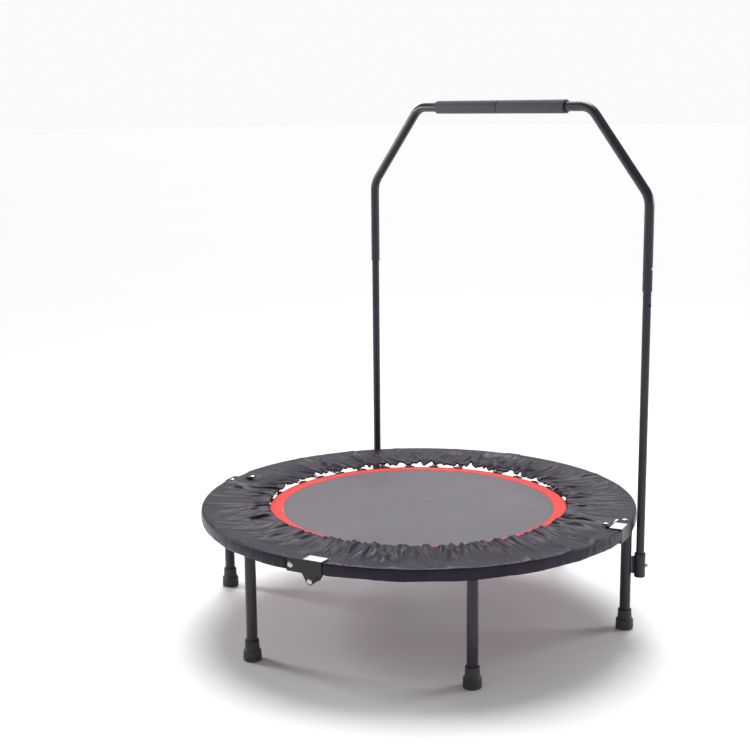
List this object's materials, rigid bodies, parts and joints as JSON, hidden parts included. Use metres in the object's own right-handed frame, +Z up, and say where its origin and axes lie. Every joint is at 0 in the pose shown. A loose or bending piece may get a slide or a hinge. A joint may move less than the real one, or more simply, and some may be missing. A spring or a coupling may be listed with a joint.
{
  "type": "mini trampoline",
  "caption": "Round folding fitness rebounder: sprung mat with a padded edge cover on a square tube ring, screw-in legs with rubber boots, and a front handle on two posts.",
  "frame": {"origin": "on the floor under the ring's centre", "axes": "+Z up, +Y from the centre towards the handle, +X to the right of a user who faces the handle"},
  "size_m": [1.0116, 1.0182, 1.181],
  "materials": {
    "frame_paint": "satin near-black powder coat",
    "bracket_paint": "satin near-black powder coat",
    "zinc": "zinc plated, satin",
    "label": "blank matte plate",
    "rubber": "matte moulded",
    "foam": "matte closed-cell foam",
    "mat_fabric": "woven polypropylene, soft sheen",
    "band_fabric": "woven webbing",
    "cover_fabric": "coated cloth, satin",
    "button_steel": "polished"
  },
  "bodies": {
    "frame_left": {"frame_arc_front_left": "frame_paint", "frame_arc_rear_left": "frame_paint", "bracket_left": "bracket_paint", "bracket_rear": "bracket_paint", "pivot_pin_left": "zinc", "pivot_pin_rear": "zinc", "bracket_rivet_left": "zinc", "bracket_rivet_rear": "zinc", "label_left": "label", "label_rear": "label", "mat_left": "mat_fabric", "mat_band_left": "band_fabric", "cover_front_left": "cover_fabric", "cover_rear_left": "cover_fabric", "springs_front_left": "zinc", "springs_rear_left": "zinc"},
    "frame_right": {"frame_arc_front_right": "frame_paint", "frame_arc_rear_right": "frame_paint", "bracket_right": "bracket_paint", "bracket_front": "bracket_paint", "pivot_pin_right": "zinc", "pivot_pin_front": "zinc", "bracket_rivet_right": "zinc", "bracket_rivet_front": "zinc", "label_right": "label", "label_front": "label", "mat_right": "mat_fabric", "mat_band_right": "band_fabric", "cover_front_right": "cover_fabric", "cover_rear_right": "cover_fabric", "springs_front_right": "zinc", "springs_rear_right": "zinc"},
    "leg_front_right": {"leg_front_right": "frame_paint", "foot_front_right": "rubber", "handle_socket_right": "frame_paint", "socket_screw_right": "zinc"},
    "leg_front": {"leg_front": "frame_paint", "foot_front": "rubber"},
    "leg_front_left": {"leg_front_left": "frame_paint", "foot_front_left": "rubber", "handle_socket_left": "frame_paint", "socket_screw_left": "zinc"},
    "leg_rear_left": {"leg_rear_left": "frame_paint", "foot_rear_left": "rubber"},
    "leg_rear": {"leg_rear": "frame_paint", "foot_rear": "rubber"},
    "leg_rear_right": {"leg_rear_right": "frame_paint", "foot_rear_right": "rubber"},
    "handle_posts": {"handle_post_left": "frame_paint", "handle_post_right": "frame_paint"},
    "handle_top": {"handle_top": "frame_paint", "grip_left": "foam", "grip_right": "foam"},
    "snap_button_left": {"snap_button_left": "button_steel"},
    "snap_button_right": {"snap_button_right": "button_steel"}
  },
  "joints": [
    {"name": "half_fold", "type": "hinge", "parent": "frame_left", "child": "frame_right", "pos_m": [0, 0, 0.2177], "axis": [-0.3584, 0.9336, 0], "range_deg": [0, 180]},
    {"name": "leg_unscrew_front_right", "type": "slide", "parent": "frame_right", "child": "leg_front_right", "axis": [0, 0, -1], "range_m": [0, 0.3]},
    {"name": "leg_unscrew_front", "type": "slide", "parent": "frame_right", "child": "leg_front", "axis": [0, 0, -1], "range_m": [0, 0.3]},
    {"name": "leg_unscrew_front_left", "type": "slide", "parent": "frame_left", "child": "leg_front_left", "axis": [0, 0, -1], "range_m": [0, 0.3]},
    {"name": "leg_unscrew_rear_left", "type": "slide", "parent": "frame_left", "child": "leg_rear_left", "axis": [0, 0, -1], "range_m": [0, 0.3]},
    {"name": "leg_unscrew_rear", "type": "slide", "parent": "frame_left", "child": "leg_rear", "axis": [0, 0, -1], "range_m": [0, 0.3]},
    {"name": "leg_unscrew_rear_right", "type": "slide", "parent": "frame_right", "child": "leg_rear_right", "axis": [0, 0, -1], "range_m": [0, 0.3]},
    {"name": "handle_lift", "type": "slide", "parent": "frame_left", "child": "handle_posts", "axis": [0, 0, 1], "range_m": [0, 0.25]},
    {"name": "handle_height", "type": "slide", "parent": "handle_posts", "child": "handle_top", "axis": [0, 0, 1], "range_m": [-0.08, 0]},
    {"name": "snap_button_press_left", "type": "slide", "parent": "handle_top", "child": "snap_button_left", "axis": [1, 0, 0], "range_m": [0, 0.004], "stiffness_N_per_m": 300, "springref_m": -0.001},
    {"name": "snap_button_press_right", "type": "slide", "parent": "handle_top", "child": "snap_button_right", "axis": [-1, 0, 0], "range_m": [0, 0.004], "stiffness_N_per_m": 300, "springref_m": -0.001}
  ],
  "couplings": [
    {"joint": "leg_unscrew_front_right", "follows": "half_fold", "m_per_rad": 0.0954},
    {"joint": "leg_unscrew_front", "follows": "half_fold", "m_per_rad": 0.0954},
    {"joint": "leg_unscrew_front_left", "follows": "half_fold", "m_per_rad": 0.0954},
    {"joint": "leg_unscrew_rear_left", "follows": "half_fold", "m_per_rad": 0.0954},
    {"joint": "leg_unscrew_rear", "follows": "half_fold", "m_per_rad": 0.0954},
    {"joint": "leg_unscrew_rear_right", "follows": "half_fold", "m_per_rad": 0.0954},
    {"joint": "handle_lift", "follows": "half_fold", "m_per_rad": 0.0795}
  ]
}
